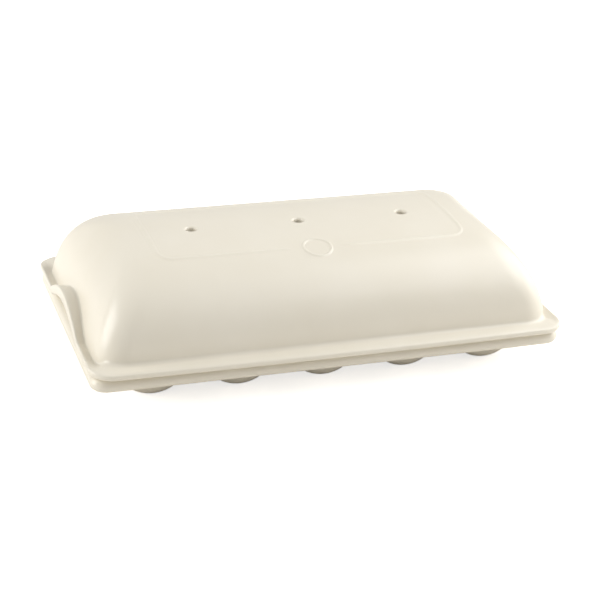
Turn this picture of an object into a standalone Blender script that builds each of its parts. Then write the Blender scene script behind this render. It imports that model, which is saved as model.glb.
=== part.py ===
"""Baguette baker: a domed lid that rests on a tray of five crosswise troughs.

Both pieces are one-piece glazed stoneware castings. Metres, +Z up. The tray's feet stand on z = 0,
X runs along the baker and the front faces -Y.
"""
import bpy
import bmesh
from math import cos, pi, sin
from mathutils import Vector
from mathutils.bvhtree import BVHTree

MM = 0.001

# Lid plan, with the rim flange that runs round the dome
LID_LENGTH = 390 * MM
LID_WIDTH = 232 * MM
LID_SIDE_BOW = 1.8 * MM
LID_CORNER = 19 * MM
RIM_END_WIDTH = 7.5 * MM
RIM_SIDE_WIDTH = 10.75 * MM

# Dome over the plan, measured from the plane that the lid's rim rests on
DOME_FOOT_LENGTH = LID_LENGTH - 2 * RIM_END_WIDTH
DOME_FOOT_WIDTH = LID_WIDTH - 2 * RIM_SIDE_WIDTH
DOME_HEIGHT = 68.6 * MM
DOME_END_RUN = 47 * MM
DOME_CREST_LENGTH = DOME_FOOT_LENGTH - 2 * DOME_END_RUN
DOME_CORNER = 23.5 * MM
DOME_CREST_CORNER = 15.7 * MM
SECTION_BULGE = 2.61
END_BULGE = 1.66
LID_WALL = 6.5 * MM
INNER_CORNER_SHARE = 0.6

# Rim flange's section: it falls outwards on the sides, and inwards behind a thin lip at the ends
RIM_SIDE_EDGE = 4.7 * MM
RIM_SIDE_FOOT = 6.8 * MM
RIM_END_EDGE = 5.2 * MM
RIM_END_FOOT = 2.8 * MM
RIM_EDGE_ROUND = 1.5 * MM
RIM_COVE = 3.0 * MM
COVE_FOOT = 0.10
COVE_END = 0.30
COVE_POWER = 0.65
SLOPE_MIDDLE = 0.50
LIP_START = 0.78
MITRE_FROM = 0.5
MITRE_ACROSS = 0.32
LOCATING_SETBACK = 2.5 * MM
LOCATING_TAPER = 0.75 * MM

# Finger arch in the rim at each end
ARCH_RISE = 17.8 * MM
ARCH_HALF_WIDTH = 54 * MM
ARCH_POWER = 1.2
ARCH_THICKENING = 4.6 * MM
ARCH_SHOULDER = 5 * MM
ARCH_FADE_HEIGHT = 47 * MM

# Steam vents along the crest
VENT_COUNT = 3
VENT_PITCH = 90.3 * MM
VENT_DIAMETER = 8.4 * MM

# Raised bead on top, whose front line breaks off either side of a plain round badge
BEAD_INSET = 12.5 * MM
BEAD_LENGTH = DOME_CREST_LENGTH - 2 * BEAD_INSET
BEAD_WIDTH = 98 * MM
BEAD_CORNER = 12 * MM
BEAD_ACROSS = 4.6 * MM
BEAD_HEIGHT = 0.8 * MM
BEAD_SUNK = 0.9 * MM
BEAD_CROWN = 0.2
BADGE_DIAMETER = 23 * MM
BADGE_RING_ACROSS = 3.0 * MM
BADGE_CLEARANCE = 7.5 * MM

# Tray, set back a little from the lid's edge all round
TRAY_END_SETBACK = 1.1 * MM
TRAY_SIDE_SETBACK = 5.2 * MM
TRAY_LENGTH = LID_LENGTH - 2 * TRAY_END_SETBACK
TRAY_WIDTH = LID_WIDTH - 2 * TRAY_SIDE_SETBACK
TRAY_CORNER = 13.3 * MM
TRAY_HEIGHT = 31.3 * MM
TRAY_RIM = 11.0 * MM
TRAY_TOP_ROUND = (4.4 * MM, 5.5 * MM)
TRAY_UNDER_ROUND = (3.0 * MM, 3.0 * MM)
TRAY_WELL_DEPTH = 3.5 * MM
TRAY_WELL_BEVEL = 1 * MM

# The lid's foot rests in the tray's well, which leaves a dark gap between the two rims
RIM_GAP = 2.0 * MM
LOCATING_CLEARANCE = 1.2 * MM
RESTING_GAP = 0.3 * MM
LOCATING_DROP = RIM_GAP + TRAY_WELL_DEPTH - RESTING_GAP

# Troughs, each for one short loaf: as many as fit between the well's ends
TROUGH_PITCH = 70 * MM
TROUGH_MARGIN = 8 * MM
TROUGH_RADIUS = 25.8 * MM
TROUGH_WALL = 5.5 * MM
TROUGH_STRAIGHT = 150 * MM
TROUGH_END = 12.1 * MM
FOOT_FLAT_DEPTH = 0.6 * MM

# Faceting
CORNER_LIMIT = 0.999
CORNER_STEPS = 6
END_STEPS = 16
SIDE_STEPS = 8
DOME_LEVELS = 11
OUTER_CREST_STEP = 0.4
INNER_FOOT_STEP = 0.5
INNER_CREST_STEP = 0.2
EDGE_ROUND_SHARE = 0.3
RIM_ROUND_STEPS = 3
TROUGH_SIDES = 36
TROUGH_END_STEPS = 7
VENT_SIDES = 20
BADGE_SIDES = 32
BEAD_STEP = 9 * MM

CREAM = (0.83, 0.77, 0.66, 1.0)
CREAM_SHADE = (0.80, 0.74, 0.63, 1.0)

REST_PLANE = TRAY_HEIGHT + RIM_GAP


def clear_scene():
    for item in list(bpy.data.objects):
        bpy.data.objects.remove(item, do_unlink=True)


def glaze(name, colour):
    material = bpy.data.materials.new(name)
    material.use_nodes = True
    shader = material.node_tree.nodes["Principled BSDF"]
    shader.inputs["Base Color"].default_value = colour
    shader.inputs["Roughness"].default_value = 0.28
    shader.inputs["Metallic"].default_value = 0.0
    return material


def mix(low, high, share):
    return low + (high - low) * share


def outline(length, width, corner, bow=0.0):
    """Rounded rectangle, anticlockwise from the +X end, as (x, y, how far it faces an end).

    Each outline has the same count of points, so any two can be bridged. The long sides bow out."""
    half_x, half_y = length / 2, width / 2
    corner = min(corner, half_y * CORNER_LIMIT)
    flat_x, flat_y = half_x - corner, half_y - corner
    quarter_turns = [pi / 2 * step / CORNER_STEPS for step in range(CORNER_STEPS)]
    points = []
    for end in (1, -1):
        for step in range(END_STEPS):
            share = step / END_STEPS
            points.append((end * half_x, end * mix(-flat_y, flat_y, share), 1.0))
        for turn in quarter_turns:
            x, y = flat_x + corner * cos(turn), flat_y + corner * sin(turn)
            points.append((end * x, end * y, cos(turn) ** 2))
        for step in range(SIDE_STEPS):
            share = step / SIDE_STEPS
            points.append((end * mix(flat_x, -flat_x, share), end * half_y, 0.0))
        for turn in quarter_turns:
            x, y = flat_x + corner * sin(turn), flat_y + corner * cos(turn)
            points.append((-end * x, end * y, sin(turn) ** 2))
    return [(x, y * (1 + bow / half_y * (1 - (x / half_x) ** 2)), facing) for x, y, facing in points]


def superellipse(share, bulge):
    return max(1 - share ** bulge, 0.0) ** (1 / bulge)


def dome_outline(height, inset=0.0):
    """The dome's outline at one height over the rest plane; inset gives its inner face."""
    share = max(min(height / (DOME_HEIGHT - inset), 1.0), 0.0)
    across = superellipse(share, SECTION_BULGE)
    along = superellipse(share, END_BULGE)
    length = mix(DOME_CREST_LENGTH, DOME_FOOT_LENGTH - 2 * inset, along)
    width = (DOME_FOOT_WIDTH - 2 * inset) * across
    corner = mix(DOME_CREST_CORNER, DOME_CORNER, across) - inset * INNER_CORNER_SHARE
    return outline(length, width, corner)


def arch(y, rise=ARCH_RISE, half_width=ARCH_HALF_WIDTH):
    """Height of the finger arch over the flat rim."""
    share = min(abs(y) / half_width, 1.0)
    return rise * (1 - share ** 2) ** ARCH_POWER


def under_arch(y):
    """Height of the arch's underside, lower and narrower than its top."""
    return arch(y, ARCH_RISE - ARCH_THICKENING, ARCH_HALF_WIDTH - ARCH_SHOULDER)


def facing_end(facing):
    """How far a place counts as the rim's end: its slopes meet in a narrow mitre at each corner."""
    return min(max((facing - MITRE_FROM) / MITRE_ACROSS, 0.0), 1.0)


def crease(y, facing):
    """Height of the line where the dome meets the rim."""
    return mix(RIM_SIDE_FOOT, RIM_END_FOOT, facing_end(facing)) + arch(y)


def dome_ring(height):
    """An outer ring of the dome. Low rings ride over the finger arches."""
    fade = max(1 - (height - RIM_SIDE_FOOT) / (ARCH_FADE_HEIGHT - RIM_SIDE_FOOT), 0.0)
    ring = []
    for place, (x, y, facing) in enumerate(dome_outline(height)):
        lifted = height + (crease(y, facing) - RIM_SIDE_FOOT) * fade
        x, y, facing = dome_outline(lifted)[place]
        ring.append((x, y, lifted))
    return ring


def arch_setback(x, y, share):
    """How far the dome's slope lies further in where an arch meets it, fading out towards the rim's edge."""
    along = superellipse(arch(y) / DOME_HEIGHT, END_BULGE)
    return DOME_END_RUN * (1 - along) * (1 - share) * (1 if x > 0 else -1)


def rim_height(share, facing):
    """Height of the rim's top face without the arch."""
    side = mix(RIM_SIDE_FOOT, RIM_SIDE_EDGE, share)
    end = mix(RIM_END_FOOT, RIM_END_EDGE, min(share / LIP_START, 1.0))
    return mix(side, end, facing_end(facing))


def rim_ring(share, drop, inset=0.0):
    """A ring on the rim's top: share 0 is the dome's foot and 1 the edge, drop is below the top face."""
    length = mix(DOME_FOOT_LENGTH, LID_LENGTH, share) - 2 * inset
    width = mix(DOME_FOOT_WIDTH, LID_WIDTH, share) - 2 * inset
    corner = mix(DOME_CORNER, LID_CORNER, share) - inset
    ring = []
    for x, y, facing in outline(length, width, corner, LID_SIDE_BOW * share):
        ring.append((x - arch_setback(x, y, share), y, rim_height(share, facing) + arch(y) - drop))
    return ring


def under_ring(outline_points, height):
    return [(x, y, height + under_arch(y)) for x, y, facing in outline_points]


def flat_ring(outline_points, height):
    return [(x, y, height) for x, y, facing in outline_points]


def loft(rings, base):
    """Skin a list of rings and close the first and last with a flat cap."""
    shell = bmesh.new()
    loops = [[shell.verts.new((x, y, z + base)) for x, y, z in ring] for ring in rings]
    for upper, lower in zip(loops, loops[1:]):
        for place in range(len(upper)):
            after = (place + 1) % len(upper)
            shell.faces.new((upper[place], lower[place], lower[after], upper[after]))
    shell.faces.new(loops[0])
    shell.faces.new(reversed(loops[-1]))
    bmesh.ops.recalc_face_normals(shell, faces=shell.faces[:])
    return shell


def add_object(name, shell, material):
    mesh = bpy.data.meshes.new(name)
    shell.to_mesh(mesh)
    shell.free()
    if material:
        mesh.materials.append(material)
    item = bpy.data.objects.new(name, mesh)
    bpy.context.scene.collection.objects.link(item)
    return item


def add_boolean(item, helper, operation):
    helper.hide_render = True
    helper.display_type = "WIRE"
    modifier = item.modifiers.new(helper.name, "BOOLEAN")
    modifier.operation = operation
    modifier.object = helper
    modifier.solver = "EXACT"


def locating_outline(wider):
    """Outline of the foot under the lid that stands in the tray's well, or of a wider one round it."""
    grown = 2 * (wider - LOCATING_SETBACK)
    return outline(DOME_FOOT_LENGTH + grown, DOME_FOOT_WIDTH + grown, DOME_CORNER + grown / 2)


def lid_shell():
    """The lid from the middle of its crest, over the rim, round its foot and up its inner face."""
    rings = []
    for level in range(DOME_LEVELS, 0, -1):
        share = sin(pi / 2 * level / (DOME_LEVELS + OUTER_CREST_STEP))
        rings.append(dome_ring(mix(RIM_SIDE_FOOT + RIM_COVE, DOME_HEIGHT, share)))
    rings.append(dome_ring(RIM_SIDE_FOOT + RIM_COVE))
    rings.append(rim_ring(COVE_FOOT, -RIM_COVE * (COVE_END - COVE_FOOT) ** COVE_POWER))
    rings += [rim_ring(share, 0.0) for share in (COVE_END, SLOPE_MIDDLE, LIP_START)]
    rings.append(rim_ring(1.0, 0.0, inset=RIM_EDGE_ROUND))
    eased = RIM_EDGE_ROUND * EDGE_ROUND_SHARE
    rings.append(rim_ring(1.0, eased, inset=eased))
    rings.append(rim_ring(1.0, RIM_EDGE_ROUND))
    edge = outline(LID_LENGTH, LID_WIDTH, LID_CORNER, LID_SIDE_BOW)
    edge_inset = outline(LID_LENGTH - RIM_EDGE_ROUND, LID_WIDTH - RIM_EDGE_ROUND, LID_CORNER, LID_SIDE_BOW)
    rings.append(under_ring(edge, RIM_EDGE_ROUND / 2))
    rings.append(under_ring(edge_inset, 0.0))
    rings.append(under_ring(locating_outline(0.0), 0.0))
    rings.append(flat_ring(locating_outline(-LOCATING_TAPER), -LOCATING_DROP))
    rings.append(flat_ring(dome_outline(0.0, inset=LID_WALL), -LOCATING_DROP))
    inner_height = DOME_HEIGHT - LID_WALL
    for level in range(DOME_LEVELS):
        share = sin(pi / 2 * (level + INNER_FOOT_STEP) / (DOME_LEVELS + INNER_CREST_STEP))
        rings.append(flat_ring(dome_outline(inner_height * share, inset=LID_WALL), inner_height * share))
    return loft(rings, REST_PLANE)


def surface_point(tree, x, y):
    """The point straight down on the lid at x, y, and the lid's normal there."""
    point, normal, face, distance = tree.ray_cast(Vector((x, y, 1.0)), Vector((0, 0, -1)))
    return point, normal


def relief(name, path, tree, across, height, sunk, closed):
    """A raised line with a low three-sided crown that follows a path over the dome."""
    side_up = [(-0.5, -sunk), (-0.5, 0.0), (-BEAD_CROWN, height)]
    crown = side_up + [(-side, up) for side, up in reversed(side_up)]
    shell = bmesh.new()
    loops = []
    for place, (x, y) in enumerate(path):
        ahead = path[(place + 1) % len(path)] if closed else path[min(place + 1, len(path) - 1)]
        behind = path[place - 1] if closed else path[max(place - 1, 0)]
        forward = Vector((ahead[0] - behind[0], ahead[1] - behind[1], 0)).normalized()
        point, normal = surface_point(tree, x, y)
        sideways = normal.cross(forward).normalized()
        loops.append([shell.verts.new(point + sideways * side * across + normal * up) for side, up in crown])
    for loop, following in zip(loops, loops[1:] + loops[:1] if closed else loops[1:]):
        for corner in range(len(crown)):
            beyond = (corner + 1) % len(crown)
            shell.faces.new((loop[corner], loop[beyond], following[beyond], following[corner]))
    if not closed:
        shell.faces.new(loops[0])
        shell.faces.new(reversed(loops[-1]))
    bmesh.ops.recalc_face_normals(shell, faces=shell.faces[:])
    return add_object(name, shell, None)


def straight_run(start, end):
    """Points from start towards end, about a bead's step apart, without the end itself."""
    count = max(round((Vector(end) - Vector(start)).length / BEAD_STEP), 1)
    return [tuple(Vector(start).lerp(Vector(end), step / count)) for step in range(count)]


def bead_path():
    """The bead's centre line in plan, from the badge's right, round by the back, to its left."""
    half_x, half_y = BEAD_LENGTH / 2, BEAD_WIDTH / 2
    flat_x, flat_y = half_x - BEAD_CORNER, half_y - BEAD_CORNER
    breaks_off = (BADGE_DIAMETER + BADGE_RING_ACROSS) / 2 + BADGE_CLEARANCE
    place, path = (breaks_off, -half_y), []
    for quarter, (side_x, side_y) in enumerate(((1, -1), (1, 1), (-1, 1), (-1, -1))):
        arc = []
        for step in range(CORNER_STEPS + 1):
            turn = pi / 2 * (quarter - 1 + step / CORNER_STEPS)
            arc.append((side_x * flat_x + BEAD_CORNER * cos(turn), side_y * flat_y + BEAD_CORNER * sin(turn)))
        path += straight_run(place, arc[0]) + arc[:-1]
        place = arc[-1]
    return path + straight_run(place, (-breaks_off, -half_y)) + [(-breaks_off, -half_y)]


def ring_path(x, y, radius, count):
    return [(x + radius * cos(2 * pi * step / count), y + radius * sin(2 * pi * step / count))
            for step in range(count)]


def cylinder(name, radius, depth, sides):
    shell = bmesh.new()
    bmesh.ops.create_cone(shell, cap_ends=True, segments=sides, radius1=radius, radius2=radius, depth=depth)
    return add_object(name, shell, None)


def make_lid():
    shell = lid_shell()
    tree = BVHTree.FromBMesh(shell)
    lid = add_object("lid", shell, glaze("cream_glaze_lid", CREAM))
    bead = relief("bead_line", bead_path(), tree, BEAD_ACROSS, BEAD_HEIGHT, BEAD_SUNK, closed=False)
    add_boolean(lid, bead, "UNION")
    circle = ring_path(0.0, -BEAD_WIDTH / 2, BADGE_DIAMETER / 2, BADGE_SIDES)
    badge = relief("badge_ring", circle, tree, BADGE_RING_ACROSS, BEAD_HEIGHT, BEAD_SUNK, closed=True)
    add_boolean(lid, badge, "UNION")
    for vent in range(VENT_COUNT):
        x = (vent - (VENT_COUNT - 1) / 2) * VENT_PITCH
        bore = cylinder(f"vent_bore_{vent}", VENT_DIAMETER / 2, 3 * LID_WALL, VENT_SIDES)
        bore.location = (x, 0.0, REST_PLANE + DOME_HEIGHT - LID_WALL / 2)
        add_boolean(lid, bore, "DIFFERENCE")
    return lid


def trough_bar(radius, end, axis_height):
    """A round bar along Y with ellipsoid ends, turned about the trough's axis."""
    profile = []
    for step in range(TROUGH_END_STEPS + 1):
        turn = pi / 2 * step / TROUGH_END_STEPS
        profile.append((-TROUGH_STRAIGHT / 2 - end * cos(turn), radius * sin(turn)))
    profile += [(-y, reach) for y, reach in reversed(profile)]
    shell = bmesh.new()
    chain = [shell.verts.new((0, y, -reach)) for y, reach in profile]
    edges = [shell.edges.new(pair) for pair in zip(chain, chain[1:])]
    bmesh.ops.spin(shell, geom=chain + edges, cent=(0, 0, 0), axis=(0, 1, 0), dvec=(0, 0, 0),
                   angle=2 * pi, steps=TROUGH_SIDES, use_merge=True, use_duplicate=False)
    bmesh.ops.remove_doubles(shell, verts=shell.verts[:], dist=MM / 100)
    bmesh.ops.recalc_face_normals(shell, faces=shell.faces[:])
    bmesh.ops.translate(shell, verts=shell.verts[:], vec=(0, 0, axis_height))
    return shell


def trough_underside(axis_height, top):
    """The outer bar of a trough, cut flat where it stands and capped inside the tray's plate."""
    shell = trough_bar(TROUGH_RADIUS + TROUGH_WALL, TROUGH_END + TROUGH_WALL, axis_height)
    for height, facing in ((0.0, -1), (top, 1)):
        geometry = shell.verts[:] + shell.edges[:] + shell.faces[:]
        cut = bmesh.ops.bisect_plane(shell, geom=geometry, plane_co=(0, 0, height), plane_no=(0, 0, facing),
                                     clear_outer=True)
        rim = [part for part in cut["geom_cut"] if isinstance(part, bmesh.types.BMEdge)]
        bmesh.ops.contextual_create(shell, geom=rim)
    bmesh.ops.recalc_face_normals(shell, faces=shell.faces[:])
    return shell


def well_ring(height, wider=0.0):
    """The well's outline: the lid's locating foot and its clearance all round."""
    return flat_ring(locating_outline(LOCATING_CLEARANCE + wider), height)


def tray_edge_ring(inset, height):
    return flat_ring(outline(TRAY_LENGTH - 2 * inset, TRAY_WIDTH - 2 * inset, TRAY_CORNER - inset), height)


def tray_plate():
    """The tray's flat plate: a rounded rim round a shallow well that takes the lid's locating foot."""
    top, under = TRAY_HEIGHT, TRAY_HEIGHT - TRAY_RIM
    rings = [well_ring(top - TRAY_WELL_DEPTH), well_ring(top - TRAY_WELL_BEVEL)]
    rings.append(well_ring(top, TRAY_WELL_BEVEL))
    turns = [pi / 2 * step / RIM_ROUND_STEPS for step in range(RIM_ROUND_STEPS + 1)]
    across, down = TRAY_TOP_ROUND
    rings += [tray_edge_ring(across * (1 - sin(turn)), top - down * (1 - cos(turn))) for turn in turns]
    across, down = TRAY_UNDER_ROUND
    rings += [tray_edge_ring(across * (1 - cos(turn)), under + down * (1 - sin(turn))) for turn in turns]
    return loft(rings, 0.0)


def trough_places():
    """The x of each trough's axis, spread about the middle of the tray."""
    room = TRAY_LENGTH - 2 * (TRAY_RIM + TROUGH_MARGIN + TROUGH_RADIUS)
    spaces = int(room / TROUGH_PITCH)
    return [(place - spaces / 2) * TROUGH_PITCH for place in range(spaces + 1)]


def make_base():
    base = add_object("base", tray_plate(), glaze("cream_glaze_base", CREAM_SHADE))
    axis_height = TROUGH_RADIUS + TROUGH_WALL - FOOT_FLAT_DEPTH
    plate_middle = TRAY_HEIGHT - (TRAY_WELL_DEPTH + TRAY_RIM) / 2
    places = trough_places()
    for place, x in enumerate(places):
        underside = add_object(f"underside_{place}", trough_underside(axis_height, plate_middle), None)
        underside.location.x = x
        add_boolean(base, underside, "UNION")
    for place, x in enumerate(places):
        bar = trough_bar(TROUGH_RADIUS, TROUGH_END, axis_height)
        hollow = add_object(f"hollow_{place}", bar, None)
        hollow.location.x = x
        add_boolean(base, hollow, "DIFFERENCE")
    return base


def shade_round(item):
    item.data.shade_smooth()
    item.data.set_sharp_from_angle(angle=pi / 5)


clear_scene()
for piece in (make_base(), make_lid()):
    shade_round(piece)
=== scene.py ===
"""Looks of a covered stoneware baker for short loaves: a domed lid that rests on a tray of five troughs.

Both castings are modelled again with their soft, glazed edges. Metres, +Z up, the front faces -Y.
"""

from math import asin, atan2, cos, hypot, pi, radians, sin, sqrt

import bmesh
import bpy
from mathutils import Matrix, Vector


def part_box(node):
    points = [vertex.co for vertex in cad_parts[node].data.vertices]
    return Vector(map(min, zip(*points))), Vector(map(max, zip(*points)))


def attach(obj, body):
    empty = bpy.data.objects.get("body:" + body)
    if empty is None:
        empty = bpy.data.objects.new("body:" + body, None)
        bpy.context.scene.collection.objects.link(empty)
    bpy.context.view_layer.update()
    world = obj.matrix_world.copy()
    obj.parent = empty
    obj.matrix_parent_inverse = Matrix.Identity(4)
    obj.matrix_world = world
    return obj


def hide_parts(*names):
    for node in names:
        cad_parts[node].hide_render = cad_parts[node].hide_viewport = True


bl_info = {
    "name": "Baguette Baker",
    "version": (1, 0, 0),
    "blender": (4, 5, 0),
    "location": "View3D > Sidebar > Baker",
    "description": "Glazed lid and tray of a covered stoneware baker, with a plain studio round them",
    "category": "Object",
}

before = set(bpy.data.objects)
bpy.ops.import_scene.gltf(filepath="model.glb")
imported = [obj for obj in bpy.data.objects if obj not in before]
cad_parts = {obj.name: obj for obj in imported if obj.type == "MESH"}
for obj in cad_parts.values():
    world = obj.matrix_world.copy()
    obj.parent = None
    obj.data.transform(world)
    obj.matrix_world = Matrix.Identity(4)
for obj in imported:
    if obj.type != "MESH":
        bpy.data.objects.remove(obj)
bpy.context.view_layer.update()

MM = 0.001
LID_LOW, LID_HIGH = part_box("lid")
TRAY_LOW, TRAY_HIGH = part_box("base")
SIDE_BOW = 1.8 * MM
LOCATING_DROP = 5.2 * MM
# The flat underside of the lid's rim, over the foot that drops into the tray.
RIM_PLANE = LID_LOW[2] + LOCATING_DROP


def length(name, description, default):
    """A size that a user may change, given in metres."""
    return bpy.props.FloatProperty(name=name, description=description, default=default, min=0.0,
                                   unit="LENGTH")


def linear(value):
    """An sRGB hex colour as linear values."""
    parts = [int(value[place:place + 2], 16) / 255 for place in (1, 3, 5)]
    return [part / 12.92 if part <= 0.04045 else ((part + 0.055) / 1.055) ** 2.4 for part in parts] + [1.0]


def shade(name, description, default):
    """A colour that a user may change, whose default is given as an sRGB hex value."""
    return bpy.props.FloatVectorProperty(name=name, description=description, default=linear(default), size=4,
                                         min=0.0, max=1.0, subtype="COLOR")


class BakerLidSizes(bpy.types.PropertyGroup):
    length: length("Length", "Over the rim, end to end", LID_HIGH[0] - LID_LOW[0])
    width: length("Width", "Over the rim at its ends, without the bow of its sides",
                  LID_HIGH[1] - LID_LOW[1] - 2 * SIDE_BOW)
    corner: length("Corner", "Radius of the rim's corners", 19 * MM)
    end_rim: length("End rim", "Width of the rim at the ends, beside the finger arches", 7.5 * MM)
    side_rim: length("Side rim", "Width of the rim along the sides", 10.75 * MM)
    dome_height: length("Dome height", "From the rim's underside to the crest", 68.6 * MM)
    end_run: length("End run", "Length of the dome's slope at each end", 47 * MM)
    dome_corner: length("Dome corner", "Radius of the dome's corners at its foot", 23.5 * MM)
    crest_corner: length("Crest corner", "Radius of the dome's corners at its crest", 15.7 * MM)
    wall: length("Wall", "Thickness of the dome", 6.5 * MM)
    arch_rise: length("Arch rise", "Height of the finger arches over the rim", 17.8 * MM)
    arch_half_width: length("Arch half width", "From an arch's peak to its foot", 54 * MM)
    arch_thickening: length("Arch thickening", "What the rim gains at an arch's peak", 4.6 * MM)
    vent: length("Vent", "Diameter of the steam vents", 8.4 * MM)
    vent_pitch: length("Vent pitch", "From one vent to the next", 90.3 * MM)
    bead_height: length("Bead height", "How far the bead and the badge's ring stand proud", 0.7 * MM)
    bead_width: length("Bead width", "Between the bead's front and back lines", 98 * MM)
    badge: length("Badge", "Diameter of the badge's ring", 22.6 * MM)


class BakerTraySizes(bpy.types.PropertyGroup):
    length: length("Length", "Over the rim, end to end", TRAY_HIGH[0] - TRAY_LOW[0])
    width: length("Width", "Over the rim, front to back", TRAY_HIGH[1] - TRAY_LOW[1])
    height: length("Height", "From the feet to the rim's top", TRAY_HIGH[2] - TRAY_LOW[2])
    corner: length("Corner", "Radius of the rim's corners", 13.3 * MM)
    rim: length("Rim", "Thickness of the plate", 11.0 * MM)
    top_round: length("Top round", "How far in the plate's upper edge is rounded", 6.4 * MM)
    top_drop: length("Top drop", "How far down the plate's upper edge is rounded", 6.6 * MM)
    under_round: length("Under round", "Rounding of the plate's lower edge", 4.2 * MM)
    well_depth: length("Well depth", "Depth of the well that takes the lid's foot", 3.5 * MM)
    trough_pitch: length("Trough pitch", "From one trough to the next", 70 * MM)
    trough_radius: length("Trough radius", "Radius of a trough's hollow", 25.8 * MM)
    trough_wall: length("Trough wall", "Thickness under a trough", 5.5 * MM)
    trough_straight: length("Trough straight", "Straight length of a trough between its round ends", 150 * MM)
    trough_end: length("Trough end", "Length of a trough's round end", 12.1 * MM)


class BakerLooks(bpy.types.PropertyGroup):
    cream: shade("Cream", "Glaze where it lies thick", "#E6DFCE")
    pale: shade("Pale", "Glaze where it is drawn thin", "#ECE6D8")
    floor: shade("Floor", "Studio floor", "#F7F4EF")
    roughness: bpy.props.FloatProperty(name="Roughness", description="Satin gloss of the glaze",
                                       default=0.31, min=0.0, max=1.0, subtype="FACTOR")


# Meshes: how close points are welded, and the lines of a grid in each half corner.
WELD = 0.002 * MM
CORNER_TURN = pi / 4
CORNER_COLUMNS, CORNER_ROWS = 5, 6
HALVINGS = 18

# Dome: powers of its curves, and the flat field at its crest.
BULGE_ACROSS = 2.61
BULGE_ALONG = 1.66
CORNER_SHRINKS = 0.6
PLATEAU_HALF_WIDTH = 74 * MM
LINING_WIDER = 2.2 * MM

# Rim: heights of its top over its underside at the dome's foot and at its edge, then its rounds.
SIDE_FOOT = 6.8 * MM
END_FOOT = 2.8 * MM
SIDE_EDGE = 4.7 * MM
END_EDGE = 5.2 * MM
END_LIP = 1.5 * MM
MITRE_FROM, MITRE_ACROSS = 0.5, 0.32
SIDE_COVE, END_COVE = 3.0 * MM, 1.6 * MM
SIDE_COVE_SHARE, END_COVE_SHARE = 0.30, 0.18
SIDE_EDGE_ROUND, END_EDGE_ROUND = 1.7 * MM, 1.2 * MM
UNDER_ROUND = 1.6 * MM
FOOT_ROUND = 0.8 * MM
FOOT_INSET = 2.9 * MM
UNDER_CORNER_ROUND = 0.8 * MM
ARCH_FADE = 47 * MM
ARCH_POWER = 1.2
ARCH_SHOULDER = 5 * MM

# Lid: rings in each of its curves.
DOME_STEPS, COVE_STEPS, RIM_STEPS, EDGE_STEPS = 34, 7, 12, 6
UNDER_STEPS, ROUND_STEPS, LINING_STEPS = 4, 4, 20

# Vents: the mouths' rounds, and how wide their outermost rings lie.
VENT_COUNT = 3
VENT_ROUND = 2.4 * MM
VENT_INNER_ROUND = 1.0 * MM
VENT_STEPS = 7
MOUTH_FAR, MOUTH_FAR_SHARE, MOUTH_NEAR = 1.3, 0.6, 1.15

# Bead and badge: their sections, and the finer rings under the badge.
BEAD_HALF_ACROSS = 2.3 * MM
RING_HALF_ACROSS = 1.9 * MM
BEAD_INSET = 12.5 * MM
BEAD_CORNER = 12 * MM
BEAD_BREAKS_OFF = 21 * MM
BEAD_FADE = 6 * MM
BADGE_EASE, BADGE_EASE_SHARE = 15.8 * MM, 0.5
BADGE_STEP = 0.38 * MM
BADGE_FINE_RINGS = 12
BADGE_PLAIN_RINGS = (7.5 * MM, 5.5 * MM, 3.5 * MM, 1.5 * MM, 0.5 * MM)

# Cells of the grid at the crest: how far each kind reaches, and its size.
VENT_CELLS, BADGE_CELLS = 9 * MM, 18 * MM
BEAD_CELLS_BEFORE_END, BEAD_CELLS_PAST_END, BEAD_CELLS_BEFORE_SIDE = 2 * MM, 4 * MM, 1 * MM
VENT_CELL, BADGE_CELL, PLAIN_CELL, BEAD_CELL, EDGE_CELL = 1.4 * MM, 2.2 * MM, 3.3 * MM, 0.82 * MM, 2.0 * MM

# Tray: its well, its rim and its troughs.
WELL_CLEARANCE = 1.6 * MM
WELL_FLOOR_ROUND = 1.2 * MM
WELL_TOP_ROUND = 1.3 * MM
WELL_STEPS = 5
TRAY_EDGE_STEPS = 8
TROUGH_COUNT = 5
TROUGH_COLUMNS = 8
TROUGH_CELL = 2.6 * MM
TROUGH_LIP = 3.5 * MM
HOLLOW_START = radians(-52)
HOLLOW_STEPS, LIP_STEPS, BAR_STEPS, FILLET_STEPS = 14, 7, 18, 6
UNDER_FILLET = 3.0 * MM
FOOT_FLAT = 0.6 * MM
FOOT_MIDDLE_SHARE = 0.8
FOOT_CROWN = 0.02 * MM
BLOCK_HALF_WIDTH = 101.5 * MM
BLOCK_CORNER = 20 * MM


def mix(low, high, share):
    """The value at a share of the way from low to high."""
    return low + (high - low) * share


def clamp(value, low=0.0, high=1.0):
    """The value, kept between low and high."""
    return max(low, min(high, value))


def smooth(share):
    """A share eased at both of its ends."""
    share = clamp(share)
    return share * share * (3 - 2 * share)


def shares(steps):
    """The shares of the way after each of some equal steps."""
    return [step / steps for step in range(1, steps + 1)]


def quarter(steps):
    """The turns of a quarter circle, from its start on."""
    return [pi / 2 * step / steps for step in range(steps + 1)]


def arc(centre_x, centre_z, radius, start, end, steps):
    """Points of an arc from one turn to another."""
    turns = [mix(start, end, share) for share in [0.0] + shares(steps)]
    return [(centre_x + radius * cos(turn), centre_z + radius * sin(turn)) for turn in turns]


def stations(bands):
    """Distances out from the middle. Each band is its end and about how far apart its lines lie."""
    places = [0.0]
    for end, spacing in bands:
        start = places[-1]
        places += [mix(start, end, share) for share in shares(max(round((end - start) / spacing), 1))]
    return places


def grid_lines(places, corner_steps):
    """A grid's lines from one side to the other, as shares of the straight and of the half corner."""
    reach = places[-1] or 1.0
    half = [(place / reach, 0.0) for place in places[1:]]
    half += [(places[-1] / reach, turn) for turn in shares(corner_steps)]
    return [(-share, -turn) for share, turn in reversed(half)] + [(0.0, 0.0)] + half


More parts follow.
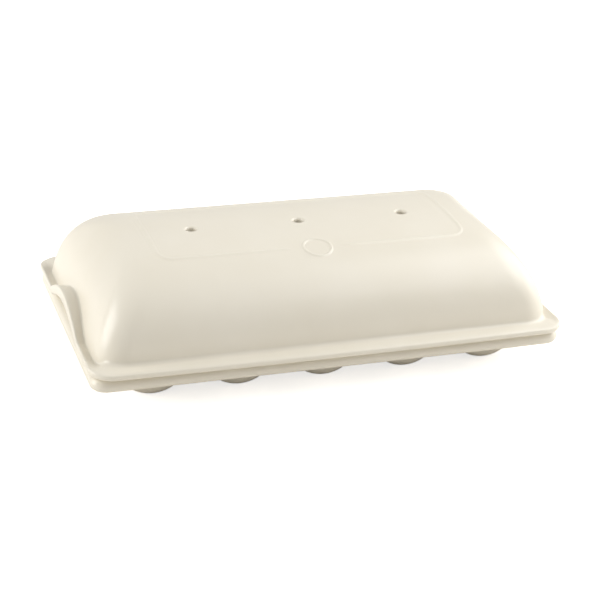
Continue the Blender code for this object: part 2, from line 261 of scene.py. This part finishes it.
def edge_point(shape, flat, out, square=0.0):
    """A point of a rounded rectangle: flat is its share of the straights and out its way into the corner.

    With square at 1 the corner is filled up.
    """
    half_x, half_y, corner_x, corner_y = shape
    reach = mix(1.0, 1 / max(abs(out[0]), abs(out[1])), square)
    return (flat[0] * (half_x - corner_x) + out[0] * reach * corner_x,
            flat[1] * (half_y - corner_y) + out[1] * reach * corner_y)


def past_edge(half_x, half_y, corner, x, y):
    """How far a point lies outside a rounded rectangle. It is negative inside."""
    past_x, past_y = abs(x) - half_x + corner, abs(y) - half_y + corner
    return hypot(max(past_x, 0), max(past_y, 0)) + min(max(past_x, past_y), 0) - corner


class Sheet:
    """A mesh that grows from a grid, ring by ring. Each point of its open edge knows its place there."""

    def __init__(self):
        self.mesh = bmesh.new()
        self.flat = self.mesh.verts.layers.float_vector.new("flat")
        self.out = self.mesh.verts.layers.float_vector.new("out")

    def grid(self, lines_x, lines_y, shape, place):
        """Start with a grid fitted into a rounded rectangle, and return its open edge and its cells."""
        columns, rows = len(lines_x) - 1, len(lines_y) - 1
        made = bmesh.ops.create_grid(self.mesh, x_segments=columns, y_segments=rows, size=1.0)["verts"]
        corner = edge_point(shape, (lines_x[-1][0], lines_y[-1][0]), (sin(CORNER_TURN), cos(CORNER_TURN)))
        for vert in made:
            column = round((vert.co.x + 1) / 2 * columns)
            row = round((vert.co.y + 1) / 2 * rows)
            (share_x, turn_x), (share_y, turn_y) = lines_x[column], lines_y[row]
            side_out = Vector((sin(CORNER_TURN * turn_x), cos(CORNER_TURN * turn_x), 0))
            end_out = Vector((cos(CORNER_TURN * turn_y), sin(CORNER_TURN * turn_y), 0))
            side = edge_point(shape, (share_x, lines_y[-1][0]), side_out)
            end = edge_point(shape, (lines_x[-1][0], share_y), end_out)
            if row in (0, rows):
                side_out.y *= 1 if row else -1
                vert[self.out] = side_out
            elif column in (0, columns):
                end_out.x *= 1 if column else -1
                vert[self.out] = end_out
            vert[self.flat] = (share_x, share_y, 0)
            vert.co = place(side[0] / corner[0] * end[0], end[1] / corner[1] * side[1])
        edge = {side for vert in made for side in vert.link_edges if side.is_boundary}
        return list(edge), list({cell for vert in made for cell in vert.link_faces})

    def grow(self, edge, place):
        """Extrude an open edge once and put each new point where place says."""
        grown = bmesh.ops.extrude_edge_only(self.mesh, edges=edge)["geom"]
        for vert in grown:
            if isinstance(vert, bmesh.types.BMVert):
                vert.co = place(vert)
        return [item for item in grown if isinstance(item, bmesh.types.BMEdge)]

    def ring(self, edge, place):
        """Grow by one ring whose point comes from its place on the edge."""
        return self.grow(edge, lambda vert: place(vert[self.flat], vert[self.out]))

    def cut(self, cells, x, y, reach):
        """Take away those of a grid's cells that lie round a point and return the edge of the opening."""
        inside = set()
        for cell in cells:
            middle = cell.calc_center_median()
            if abs(middle.x - x) < reach and abs(middle.y - y) < reach:
                inside.add(cell)
        edge = [side for side in {side for cell in inside for side in cell.edges}
                if sum(cell in inside for cell in side.link_faces) == 1]
        cells[:] = [cell for cell in cells if cell not in inside]
        bmesh.ops.delete(self.mesh, geom=list(inside), context="FACES")
        return edge

    def turn_in(self, edge, x, y, radius, height, share=1.0):
        """Grow an opening's edge by one ring towards a circle."""
        def place(vert):
            away = Vector((vert.co.x - x, vert.co.y - y))
            away *= mix(away.length, radius, share) / away.length
            return Vector((x + away.x, y + away.y, height(x + away.x, y + away.y)))
        return self.grow(edge, place)

    def finish(self, name, body, node, material, slot):
        """Weld the seams, turn the faces outwards and hand the piece over."""
        bmesh.ops.remove_doubles(self.mesh, verts=self.mesh.verts[:], dist=WELD)
        bmesh.ops.recalc_face_normals(self.mesh, faces=self.mesh.faces[:])
        layers = self.mesh.verts.layers.float_vector
        for layer in ("flat", "out"):
            layers.remove(layers[layer])
        if any(not edge.is_manifold for edge in self.mesh.edges):
            raise RuntimeError(f"{name} isn't closed")
        data = bpy.data.meshes.new(name)
        self.mesh.to_mesh(data)
        self.mesh.free()
        data.shade_smooth()
        data.materials.append(material)
        piece = bpy.data.objects.new(name, data)
        bpy.context.scene.collection.objects.link(piece)
        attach(piece, body)
        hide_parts(node)


class Dome:
    """One face of the dome, outer or inner, as a rounded rectangle at each height over the rim plane."""

    def __init__(self, lid, inset=0.0):
        self.top = lid.dome_height - inset
        self.foot = (lid.length / 2 - lid.end_rim - inset, lid.width / 2 - lid.side_rim - inset)
        self.crest_x = self.foot[0] + inset - lid.end_run
        self.corners = (lid.crest_corner - inset * CORNER_SHRINKS, lid.dome_corner - inset * CORNER_SHRINKS)

    def outline(self, height):
        """The rounded rectangle at a height, as its half sizes and its corner's."""
        share = clamp(height / self.top)
        across = (1 - share ** BULGE_ACROSS) ** (1 / BULGE_ACROSS)
        along = (1 - share ** BULGE_ALONG) ** (1 / BULGE_ALONG)
        half_x, half_y = mix(self.crest_x, self.foot[0], along), self.foot[1] * across
        corner = min(mix(*self.corners, across), half_y)
        return half_x, half_y, corner, corner

    def height(self, x, y):
        """Height of the dome over a point, found by halving."""
        low, high = 0.0, self.top
        for halving in range(HALVINGS):
            middle = (low + high) / 2
            if past_edge(*self.outline(middle)[:3], x, y) < 0:
                low = middle
            else:
                high = middle
        return low

    def level_of(self, half_width):
        """The height at which the dome is that wide."""
        return self.top * (1 - (half_width / self.foot[1]) ** BULGE_ACROSS) ** (1 / BULGE_ACROSS)


def relief(lid, crest_x, x, y):
    """How far the bead and the badge's ring stand over the dome at a point."""
    half_x, half_y = crest_x - BEAD_INSET, lid.bead_width / 2
    off = abs(past_edge(half_x, half_y, BEAD_CORNER, x, y))
    bead = 0.5 + 0.5 * cos(pi * min(off / BEAD_HALF_ACROSS, 1))
    if y < 0:
        bead *= smooth((abs(x) - BEAD_BREAKS_OFF) / BEAD_FADE)
    off = abs(hypot(x, y + half_y) - lid.badge / 2)
    ring = 0.5 + 0.5 * cos(pi * min(off / RING_HALF_ACROSS, 1))
    return lid.bead_height * max(bead, ring)


def arch(lid, y, lower=0.0, narrower=0.0):
    """Height of a finger arch over the flat rim, or of a lower and narrower one."""
    share = clamp(abs(y) / (lid.arch_half_width - narrower))
    return (lid.arch_rise - lower) * (1 - share ** 2) ** ARCH_POWER


def crease(lid, y, facing):
    """Height at which the dome would meet the rim without its cove."""
    return mix(SIDE_FOOT, END_FOOT, facing) + arch(lid, y)


def dome_point(lid, dome, height, flat, out):
    """A point of the dome's outer face. Low rings ride over the finger arches."""
    fade = clamp(1 - (height - SIDE_FOOT) / (ARCH_FADE - SIDE_FOOT))
    facing = facing_end(out)
    y = edge_point(dome.outline(height), flat, out)[1]
    height += (crease(lid, y, facing) - SIDE_FOOT + (END_COVE - SIDE_COVE) * facing) * fade
    return Vector((*edge_point(dome.outline(height), flat, out), RIM_PLANE + height))


def rim_plan(lid, share, inset, flat, out):
    """A point of the rim in plan: share 0 is the dome's foot and share 1 the rim's edge."""
    half_y = lid.width / 2 - lid.side_rim * (1 - share) - inset
    corner = mix(lid.dome_corner, lid.corner, share) - inset
    y = edge_point((0, half_y, 0, corner), flat, out)[1]
    half_x = mix(Dome(lid).outline(arch(lid, y))[0], lid.length / 2, share) - inset
    x = edge_point((half_x, 0, corner, 0), flat, out)[0]
    return x, y * (1 + SIDE_BOW * share / half_y * (1 - (x / half_x) ** 2))


def facing_end(out):
    """How far a way out counts as the rim's end: its slopes meet in a narrow mitre at each corner."""
    return smooth((out[0] ** 2 - MITRE_FROM) / MITRE_ACROSS)


def rim_top(lid, share, y, facing):
    """Height of the rim's top face. It falls outwards on the sides, and inwards behind a thin end lip."""
    side = mix(SIDE_FOOT, SIDE_EDGE, share)
    end = mix(END_FOOT, END_EDGE, clamp(share / (1 - END_LIP / lid.end_rim)))
    return mix(side, end, facing) + arch(lid, y)


def rim_point(lid, share, flat, out, inset=0.0, drop=0.0):
    """A point of the rim's top face, or of the round at its edge."""
    x, y = rim_plan(lid, share, inset, flat, out)
    return Vector((x, y, RIM_PLANE + rim_top(lid, share, y, facing_end(out)) - drop))


def cove_point(lid, dome, share, flat, out):
    """A point of the hollow curve from the dome's wall down to the rim."""
    wall = dome_point(lid, dome, SIDE_FOOT + SIDE_COVE, flat, out)
    foot = rim_point(lid, 0.0, flat, out)
    foot.z = RIM_PLANE + crease(lid, foot.y, facing_end(out))
    rim = rim_point(lid, cove_share(out), flat, out)
    return wall.lerp(foot, share).lerp(foot.lerp(rim, share), share)


def cove_share(out):
    """Share of the rim's width that the cove takes."""
    return mix(SIDE_COVE_SHARE, END_COVE_SHARE, facing_end(out))


def edge_inset(out):
    """Rounding of the rim's upper edge, smaller at the ends."""
    return mix(SIDE_EDGE_ROUND, END_EDGE_ROUND, facing_end(out))


def flat_share(lid, out):
    """Share of the rim's width up to where its edge rounds off."""
    return 1 - edge_inset(out) / mix(lid.side_rim, lid.end_rim, facing_end(out))


def under_arch(lid, y):
    """Height of the rim's underside over the rim plane: it follows the arches, lower and narrower."""
    return arch(lid, y, lid.arch_thickening, ARCH_SHOULDER)


def foot_shape(lid, inset):
    """The locating foot's outline, drawn in from the dome's foot."""
    corner = lid.dome_corner - inset
    return lid.length / 2 - lid.end_rim - inset, lid.width / 2 - lid.side_rim - inset, corner, corner


def lid_rings(lid, outer, inner):
    """The rings from the plateau over the rim and the foot, and up the inner face, as places."""
    rings = []
    root = foot_shape(lid, FOOT_INSET - UNDER_CORNER_ROUND)
    top = asin(outer.level_of(PLATEAU_HALF_WIDTH) / outer.top)
    low = asin((SIDE_FOOT + SIDE_COVE) / outer.top)
    for share in shares(DOME_STEPS):
        height = outer.top * sin(mix(top, low, share))
        rings.append(lambda flat, out, height=height: dome_point(lid, outer, height, flat, out))
    for share in shares(COVE_STEPS):
        rings.append(lambda flat, out, share=share: cove_point(lid, outer, share, flat, out))
    for share in shares(RIM_STEPS)[:-1]:
        rings.append(lambda flat, out, share=share: rim_point(
            lid, mix(cove_share(out), flat_share(lid, out), share), flat, out))
    for turn in quarter(EDGE_STEPS):
        def over_edge(flat, out, turn=turn):
            reach = edge_inset(out)
            return rim_point(lid, 1.0, flat, out, inset=reach * (1 - sin(turn)), drop=reach * (1 - cos(turn)))
        rings.append(over_edge)
    for turn in quarter(ROUND_STEPS):
        def under_edge(flat, out, turn=turn):
            x, y = rim_plan(lid, 1.0, UNDER_ROUND * (1 - cos(turn)), flat, out)
            return Vector((x, y, RIM_PLANE + under_arch(lid, y) + UNDER_ROUND * (1 - sin(turn))))
        rings.append(under_edge)
    for share in shares(UNDER_STEPS):
        def underside(flat, out, share=share):
            edge, wall = rim_plan(lid, 1.0, UNDER_ROUND, flat, out), edge_point(root, flat, out)
            x, y = mix(edge[0], wall[0], share), mix(edge[1], wall[1], share)
            return Vector((x, y, RIM_PLANE + under_arch(lid, y)))
        rings.append(underside)
    for turn in quarter(ROUND_STEPS)[1:]:
        def under_corner(flat, out, turn=turn):
            x, y = edge_point(foot_shape(lid, FOOT_INSET - UNDER_CORNER_ROUND * (1 - sin(turn))), flat, out)
            return Vector((x, y, RIM_PLANE + under_arch(lid, y) - UNDER_CORNER_ROUND * (1 - cos(turn))))
        rings.append(under_corner)
    for turn in quarter(ROUND_STEPS):
        def foot_outside(flat, out, turn=turn):
            x, y = edge_point(foot_shape(lid, FOOT_INSET + FOOT_ROUND * (1 - cos(turn))), flat, out)
            return Vector((x, y, RIM_PLANE - LOCATING_DROP + FOOT_ROUND * (1 - sin(turn))))
        rings.append(foot_outside)
    inner_foot = inner.outline(0.0)
    for turn in quarter(ROUND_STEPS):
        def foot_inside(flat, out, turn=turn):
            grown = FOOT_ROUND * (1 - sin(turn))
            x, y = edge_point(tuple(part + grown for part in inner_foot), flat, out)
            return Vector((x, y, RIM_PLANE - LOCATING_DROP + FOOT_ROUND * (1 - cos(turn))))
        rings.append(foot_inside)
    top = asin(inner.level_of(PLATEAU_HALF_WIDTH + LINING_WIDER) / inner.top)
    for share in [0.0] + shares(LINING_STEPS):
        def inside(flat, out, height=inner.top * sin(top * share)):
            x, y = edge_point(inner.outline(height), flat, out)
            return Vector((x, y, RIM_PLANE + height))
        rings.append(inside)
    return rings


def vent_mouth(sheet, edge, x, radius, rounding, height, lower):
    """Turn an opening's edge into the soft round mouth of a vent. lower is 1 outside and -1 inside."""
    edge = sheet.turn_in(edge, x, 0.0, radius + rounding * MOUTH_FAR, height, MOUTH_FAR_SHARE)
    edge = sheet.turn_in(edge, x, 0.0, radius + rounding * MOUTH_NEAR, height)
    for turn in quarter(VENT_STEPS):
        drop = rounding * (1 - cos(turn)) * lower
        edge = sheet.turn_in(edge, x, 0.0, radius + rounding * (1 - sin(turn)),
                             lambda px, py: height(px, py) - drop)
    return edge


def badge_disc(sheet, edge, lid, height):
    """Fill the badge's opening with fine rings round its centre, so that its raised ring is crisp."""
    y = -lid.bead_width / 2
    edge = sheet.turn_in(edge, 0.0, y, BADGE_EASE, height, BADGE_EASE_SHARE)
    outermost = lid.badge / 2 + RING_HALF_ACROSS
    fine = [outermost - step * BADGE_STEP for step in range(BADGE_FINE_RINGS)]
    for radius in (*fine, *BADGE_PLAIN_RINGS):
        edge = sheet.turn_in(edge, 0.0, y, radius, height)
    bmesh.ops.pointmerge(sheet.mesh, verts=list({vert for side in edge for vert in side.verts}),
                         merge_co=Vector((0.0, y, height(0.0, y))))


def model_lid(lid):
    """The lid as one sheet: plateau, dome, rim, foot, inner face and inner plateau."""
    outer, inner = Dome(lid), Dome(lid, lid.wall)
    shape = outer.outline(outer.level_of(PLATEAU_HALF_WIDTH))
    bead_x, bead_y = outer.crest_x - BEAD_INSET, lid.bead_width / 2
    along = stations(((VENT_CELLS, VENT_CELL), (BADGE_CELLS, BADGE_CELL),
                      (lid.vent_pitch - VENT_CELLS, PLAIN_CELL), (lid.vent_pitch + VENT_CELLS, VENT_CELL),
                      (bead_x - BEAD_CORNER - BEAD_CELLS_BEFORE_END, PLAIN_CELL),
                      (bead_x + BEAD_CELLS_PAST_END, BEAD_CELL), (shape[0] - shape[2], EDGE_CELL)))
    across = stations(((VENT_CELLS, VENT_CELL), (bead_y - BEAD_CORNER - BEAD_CELLS_BEFORE_SIDE, PLAIN_CELL),
                       (shape[1] - shape[3], BEAD_CELL)))
    lines_x, lines_y = grid_lines(along, CORNER_COLUMNS), grid_lines(across, CORNER_ROWS)

    def outside(x, y):
        return RIM_PLANE + outer.height(x, y) + relief(lid, outer.crest_x, x, y)

    def within(x, y):
        return RIM_PLANE + inner.height(x, y)

    def on_lining(flat, out):
        x, y = edge_point(shape, flat, out)
        return Vector((x, y, within(x, y)))

    sheet = Sheet()
    edge, cells = sheet.grid(lines_x, lines_y, shape, lambda x, y: Vector((x, y, outside(x, y))))
    for place in lid_rings(lid, outer, inner) + [on_lining]:
        edge = sheet.ring(edge, place)
    badge_disc(sheet, sheet.cut(cells, 0.0, -bead_y, BADGE_CELLS), lid, outside)
    lining = sheet.grid(lines_x, lines_y, shape, lambda x, y: Vector((x, y, within(x, y))))[1]
    for vent in range(VENT_COUNT):
        x = (vent - (VENT_COUNT - 1) / 2) * lid.vent_pitch
        upper, lower = sheet.cut(cells, x, 0.0, VENT_CELLS), sheet.cut(lining, x, 0.0, VENT_CELLS)
        upper = vent_mouth(sheet, upper, x, lid.vent / 2, VENT_ROUND, outside, 1)
        lower = vent_mouth(sheet, lower, x, lid.vent / 2, VENT_INNER_ROUND, within, -1)
        bmesh.ops.bridge_loops(sheet.mesh, edges=upper + lower)
    return sheet


def trough_reach(radius, depth):
    """Half width of a round bar at a depth below its axis."""
    return sqrt(max(radius ** 2 - depth ** 2, 0.0))


def hollow_profile(tray, axis, floor):
    """A trough's section from its bottom out over its lip, as half widths and heights."""
    radius = tray.trough_radius
    centre = floor - TROUGH_LIP
    across = trough_reach(radius + TROUGH_LIP, axis - centre)
    tangent = atan2(axis - centre, across)
    return (arc(0.0, axis, radius, HOLLOW_START, -tangent, HOLLOW_STEPS)
            + arc(across, centre, TROUGH_LIP, pi - tangent, pi / 2, LIP_STEPS)[1:])


def bar_profile(tray, axis, under):
    """A trough's underside from its flat foot up to the plate, as half widths and heights."""
    radius = tray.trough_radius + tray.trough_wall
    flat = trough_reach(radius, axis)
    centre = under - UNDER_FILLET
    across = trough_reach(radius + UNDER_FILLET, axis - centre)
    tangent = atan2(axis - centre, across)
    return ([(flat * FOOT_MIDDLE_SHARE, 0.0), (flat, FOOT_CROWN)]
            + arc(0.0, axis, radius, atan2(-axis, flat), -tangent, BAR_STEPS)[1:]
            + arc(across, centre, UNDER_FILLET, pi - tangent, pi / 2, FILLET_STEPS)[1:])


def block_corner(x, y, half_x):
    """Round the corners of the field of troughs."""
    past_x, past_y = abs(x) - half_x + BLOCK_CORNER, abs(y) - BLOCK_HALF_WIDTH + BLOCK_CORNER
    if past_x <= 0 or past_y <= 0:
        return x, y
    shrink = BLOCK_CORNER / hypot(past_x, past_y)
    return ((half_x - BLOCK_CORNER + past_x * shrink) * (1 if x > 0 else -1),
            (BLOCK_HALF_WIDTH - BLOCK_CORNER + past_y * shrink) * (1 if y > 0 else -1))


def trough_block(sheet, tray, centre_x, field_half, profile, stretch, bottom):
    """One trough's share of the tray, from the grid in its bottom to the borders that it shares."""
    straight = tray.trough_straight / 2
    rows = grid_lines(stations(((straight, TROUGH_CELL),)), CORNER_ROWS)
    columns = grid_lines([0.0], TROUGH_COLUMNS)

    def stadium(reach):
        return reach, straight + reach * stretch, reach, reach * stretch

    edge = sheet.grid(columns, rows, stadium(profile[0][0]),
                      lambda x, y: Vector((centre_x + x, y, bottom(x, y))))[0]
    for reach, height in profile[1:]:
        def on_profile(flat, out):
            x, y = edge_point(stadium(reach), flat, out)
            return Vector((centre_x + x, y, height))
        edge = sheet.ring(edge, on_profile)
    half = tray.trough_pitch / 2
    border = (half, BLOCK_HALF_WIDTH, half, BLOCK_HALF_WIDTH - straight)
    last, height = stadium(profile[-1][0]), profile[-1][1]
    for share in (0.5, 1.0):
        def towards_border(flat, out, share=share):
            near, far = edge_point(last, flat, out), edge_point(border, flat, out, 1.0)
            x, y = mix(near[0], far[0], share) + centre_x, mix(near[1], far[1], share)
            return Vector((*(block_corner(x, y, field_half) if share == 1 else (x, y)), height))
        edge = sheet.ring(edge, towards_border)


def tray_field(sheet, tray, field_half, axis, profile, stretch, bottom):
    """The troughs side by side, welded where they meet."""
    for trough in range(TROUGH_COUNT):
        centre_x = (trough - (TROUGH_COUNT - 1) / 2) * tray.trough_pitch
        trough_block(sheet, tray, centre_x, field_half, profile, stretch, bottom)
    bmesh.ops.remove_doubles(sheet.mesh, verts=sheet.mesh.verts[:], dist=WELD)


def field_place(x, y, half_x):
    """Where a point of the field's edge lies on its rounded rectangle."""
    flat_x, flat_y = half_x - BLOCK_CORNER, BLOCK_HALF_WIDTH - BLOCK_CORNER
    past = Vector((x - clamp(x, -flat_x, flat_x), y - clamp(y, -flat_y, flat_y), 0))
    return Vector((clamp(x / flat_x, -1, 1), clamp(y / flat_y, -1, 1), 0)), past.normalized()


def tray_rings(tray, lid, field_half, top, floor, under):
    """The rings from the field of troughs up the well, over the rim and back under it, as places."""
    rings = []
    well = foot_shape(lid, FOOT_INSET - WELL_CLEARANCE)
    rim = (tray.length / 2, tray.width / 2, tray.corner, tray.corner)

    def ring(shape, grown, height):
        grown_shape = tuple(part + grown for part in shape)
        rings.append(lambda flat, out: Vector((*edge_point(grown_shape, flat, out), height)))

    for turn in quarter(WELL_STEPS):
        ring(well, -WELL_FLOOR_ROUND * (1 - sin(turn)), floor + WELL_FLOOR_ROUND * (1 - cos(turn)))
    for turn in quarter(WELL_STEPS):
        ring(well, WELL_TOP_ROUND * (1 - cos(turn)), top - WELL_TOP_ROUND * (1 - sin(turn)))
    for turn in quarter(TRAY_EDGE_STEPS):
        ring(rim, -tray.top_round * (1 - sin(turn)), top - tray.top_drop * (1 - cos(turn)))
    for turn in quarter(TRAY_EDGE_STEPS):
        ring(rim, -tray.under_round * (1 - cos(turn)), under + tray.under_round * (1 - sin(turn)))
    ring((field_half, BLOCK_HALF_WIDTH, BLOCK_CORNER, BLOCK_CORNER), 0.0, under)
    return rings


def model_tray(tray, lid):
    """The tray as one sheet: troughs, well, rim, and the undersides of the troughs."""
    top = TRAY_LOW[2] + tray.height
    floor, under = top - tray.well_depth, top - tray.rim
    outer_radius = tray.trough_radius + tray.trough_wall
    axis = TRAY_LOW[2] + outer_radius - FOOT_FLAT
    field_half = TROUGH_COUNT * tray.trough_pitch / 2
    straight = tray.trough_straight / 2
    stretch = tray.trough_end / tray.trough_radius
    outer_stretch = (tray.trough_end + tray.trough_wall) / outer_radius

    def trough_bottom(x, y):
        off = hypot(x, max(abs(y) - straight, 0) / stretch)
        return axis - trough_reach(tray.trough_radius, off)

    sheet = Sheet()
    tray_field(sheet, tray, field_half, axis, hollow_profile(tray, axis, floor), stretch, trough_bottom)
    edge = [side for side in sheet.mesh.edges if side.is_boundary]
    for vert in {vert for side in edge for vert in side.verts}:
        vert[sheet.flat], vert[sheet.out] = field_place(vert.co.x, vert.co.y, field_half)
    for place in tray_rings(tray, lid, field_half, top, floor, under):
        edge = sheet.ring(edge, place)
    tray_field(sheet, tray, field_half, axis, bar_profile(tray, axis, under), outer_stretch,
               lambda x, y: TRAY_LOW[2])
    return sheet


def add_node(tree, kind, settings=(), inputs=(), links=()):
    """Add a node, set it up and link its inputs to other nodes' outputs."""
    node = tree.nodes.new(kind)
    for name, value in dict(settings).items():
        setattr(node, name, value)
    for name, value in dict(inputs).items():
        node.inputs[name].default_value = value
    for name, output in dict(links).items():
        tree.links.new(output, node.inputs[name])
    return node


GLAZE_IOR = 1.5
CLOUD_SIZE, SHEEN_SIZE, WAVE_SIZE = 55 * MM, 18 * MM, 9 * MM
GLOSS_SPREAD = 0.02
WAVE_HEIGHT, WAVE_STRENGTH = 0.05 * MM, 0.35


def satin_glazed_stoneware(name, looks):
    """Stoneware under a cream satin glaze: a soft sheen, barely cloudy colour and a faintly wavy skin."""
    material = bpy.data.materials.new(name)
    material.use_nodes = True
    tree = material.node_tree
    shader = tree.nodes["Principled BSDF"]
    shader.inputs["IOR"].default_value = GLAZE_IOR
    place = add_node(tree, "ShaderNodeTexCoord").outputs["Object"]
    clouds = add_node(tree, "ShaderNodeTexNoise", inputs={"Scale": 1 / CLOUD_SIZE, "Detail": 3.0},
                      links={"Vector": place})
    colours = add_node(tree, "ShaderNodeMix", settings={"data_type": "RGBA"},
                       links={"Factor": clouds.outputs["Fac"]})
    colours.inputs["A"].default_value = looks.cream
    colours.inputs["B"].default_value = looks.pale
    tree.links.new(colours.outputs["Result"], shader.inputs["Base Color"])
    sheen = add_node(tree, "ShaderNodeTexNoise", inputs={"Scale": 1 / SHEEN_SIZE, "Detail": 2.0},
                     links={"Vector": place})
    gloss = add_node(tree, "ShaderNodeMapRange", inputs={"To Min": looks.roughness - GLOSS_SPREAD,
                                                         "To Max": looks.roughness + GLOSS_SPREAD},
                     links={"Value": sheen.outputs["Fac"]})
    tree.links.new(gloss.outputs["Result"], shader.inputs["Roughness"])
    waves = add_node(tree, "ShaderNodeTexNoise", inputs={"Scale": 1 / WAVE_SIZE, "Detail": 2.0},
                     links={"Vector": place})
    bump = add_node(tree, "ShaderNodeBump", inputs={"Strength": WAVE_STRENGTH, "Distance": WAVE_HEIGHT},
                    links={"Height": waves.outputs["Fac"]})
    tree.links.new(bump.outputs["Normal"], shader.inputs["Normal"])
    return material


class BAKER_OT_lid(bpy.types.Operator):
    """Model the domed lid with its rim, finger arches, vents, bead and badge"""
    bl_idname = "baker.lid"
    bl_label = "Lid"

    def execute(self, context):
        glaze = satin_glazed_stoneware("satin_cream_glaze_lid", context.scene.baker_looks)
        model_lid(context.scene.baker_lid).finish("lid_casting", "lid", "lid", glaze, "lid_glaze")
        return {"FINISHED"}


class BAKER_OT_tray(bpy.types.Operator):
    """Model the tray with its troughs, well and rim"""
    bl_idname = "baker.tray"
    bl_label = "Tray"

    def execute(self, context):
        glaze = satin_glazed_stoneware("satin_cream_glaze_tray", context.scene.baker_looks)
        sheet = model_tray(context.scene.baker_tray, context.scene.baker_lid)
        sheet.finish("tray_casting", "base", "base", glaze, "base_glaze")
        return {"FINISHED"}


CAMERA_AZIMUTH = radians(-19.671)
CAMERA_ELEVATION = radians(24.558)
CAMERA_ROLL = 0.050
CAMERA_DISTANCE = 1315.8 * MM
CAMERA_LENS = 96
CAMERA_SENSOR = 36
AIM_HEIGHT = 50 * MM
AIM_RIGHT = 4.89 * MM
AIM_UP = -48.43 * MM
LIT_PLACE = Vector((0, 0, AIM_HEIGHT))
# Each light has its place and its size in metres, and its power in watts.
LIGHTS = {
    "overhead": ((1.0, 0, 1.4), (1.0, 1.0), 8.8),
    "key": ((1.0, -0.7, 1.2), (0.9, 0.9), 6.6),
    "right": ((1.65, 0.3, 0.85), (1.5, 1.4), 17.0),
    "left": ((-1.4, 0.3, 0.54), (0.9, 1.0), 14.6),
}
WORLD_STRENGTH = 0.4
FLOOR_HALF_SIZE = 8.0
FLOOR_OVERLIT = 0.66


def add_camera():
    """The camera of the photograph, as its azimuth, elevation and roll say."""
    turned, raised = CAMERA_AZIMUTH, CAMERA_ELEVATION
    back = Vector((sin(turned) * cos(raised), -cos(turned) * cos(raised), sin(raised)))
    right = Vector((cos(turned), sin(turned), 0))
    up = back.cross(right)
    centre = Vector((0, 0, RIM_PLANE + AIM_HEIGHT)) + right * AIM_RIGHT + up * AIM_UP
    turned_right = right * cos(CAMERA_ROLL) + up * sin(CAMERA_ROLL)
    turned_up = up * cos(CAMERA_ROLL) - right * sin(CAMERA_ROLL)
    camera = bpy.data.objects.new("camera", bpy.data.cameras.new("camera"))
    camera.data.lens = CAMERA_LENS
    camera.data.sensor_width = CAMERA_SENSOR
    camera.matrix_world = Matrix.Translation(centre + back * CAMERA_DISTANCE) @ Matrix(
        (turned_right, turned_up, back)).transposed().to_4x4()
    bpy.context.scene.collection.objects.link(camera)
    bpy.context.scene.camera = camera


def add_light(name, place, size, power):
    """A soft rectangular light that faces the baker."""
    lamp = bpy.data.lights.new(name, "AREA")
    lamp.shape = "RECTANGLE"
    lamp.size, lamp.size_y = size
    lamp.energy = power
    light = bpy.data.objects.new(name, lamp)
    light.location = place
    light.rotation_euler = (LIT_PLACE - Vector(place)).to_track_quat("-Z", "Y").to_euler()
    bpy.context.scene.collection.objects.link(light)


def matt_paper(looks):
    """Pale, matt backdrop paper: no sheen, and overlit for the camera alone, so that it looks white."""
    material = bpy.data.materials.new("matt_floor")
    material.use_nodes = True
    tree = material.node_tree
    shader = tree.nodes["Principled BSDF"]
    shader.inputs["Base Color"].default_value = looks.floor
    shader.inputs["Roughness"].default_value = 1.0
    shader.inputs["Specular IOR Level"].default_value = 0.0
    shader.inputs["Emission Color"].default_value = linear("#FFFFFF")
    rays = add_node(tree, "ShaderNodeLightPath")
    overlit = add_node(tree, "ShaderNodeMath", settings={"operation": "MULTIPLY"}, inputs={1: FLOOR_OVERLIT},
                       links={0: rays.outputs["Is Camera Ray"]})
    tree.links.new(overlit.outputs["Value"], shader.inputs["Emission Strength"])
    return material


def lay_floor(looks):
    """A square of floor round the baker's feet."""
    shell = bmesh.new()
    bmesh.ops.create_grid(shell, x_segments=1, y_segments=1, size=FLOOR_HALF_SIZE)
    data = bpy.data.meshes.new("floor")
    shell.to_mesh(data)
    shell.free()
    data.materials.append(matt_paper(looks))
    floor = bpy.data.objects.new("floor", data)
    bpy.context.scene.collection.objects.link(floor)


def add_world():
    """Even white light from all round."""
    world = bpy.data.worlds.new("studio")
    world.use_nodes = True
    background = world.node_tree.nodes["Background"]
    background.inputs["Color"].default_value = linear("#FFFFFF")
    background.inputs["Strength"].default_value = WORLD_STRENGTH
    bpy.context.scene.world = world


class BAKER_OT_stage(bpy.types.Operator):
    """Lay a pale floor and set up soft studio light and the camera"""
    bl_idname = "baker.stage"
    bl_label = "Stage"

    def execute(self, context):
        lay_floor(context.scene.baker_looks)
        add_world()
        for name, light in LIGHTS.items():
            add_light(name, *light)
        context.scene.view_settings.view_transform = "Standard"
        add_camera()
        return {"FINISHED"}


class BAKER_PT_panel(bpy.types.Panel):
    """Makes the baker piece by piece"""
    bl_label = "Baguette Baker"
    bl_space_type = "VIEW_3D"
    bl_region_type = "UI"
    bl_category = "Baker"

    def draw(self, context):
        for group in GROUPS:
            settings = getattr(context.scene, group)
            box = self.layout.box()
            for name in settings.__annotations__:
                box.prop(settings, name)
        for operator in OPERATORS:
            self.layout.operator(operator.bl_idname)


GROUPS = {"baker_lid": BakerLidSizes, "baker_tray": BakerTraySizes, "baker_looks": BakerLooks}
OPERATORS = (BAKER_OT_lid, BAKER_OT_tray, BAKER_OT_stage)


def register():
    for item in (*GROUPS.values(), *OPERATORS, BAKER_PT_panel):
        bpy.utils.register_class(item)
    for name, group in GROUPS.items():
        setattr(bpy.types.Scene, name, bpy.props.PointerProperty(type=group))


def unregister():
    for name in GROUPS:
        delattr(bpy.types.Scene, name)
    for item in (BAKER_PT_panel, *reversed(OPERATORS), *reversed(GROUPS.values())):
        bpy.utils.unregister_class(item)


def main():
    register()
    bpy.ops.baker.lid()
    bpy.ops.baker.tray()
    bpy.ops.baker.stage()


if __name__ == "__main__":
    main()
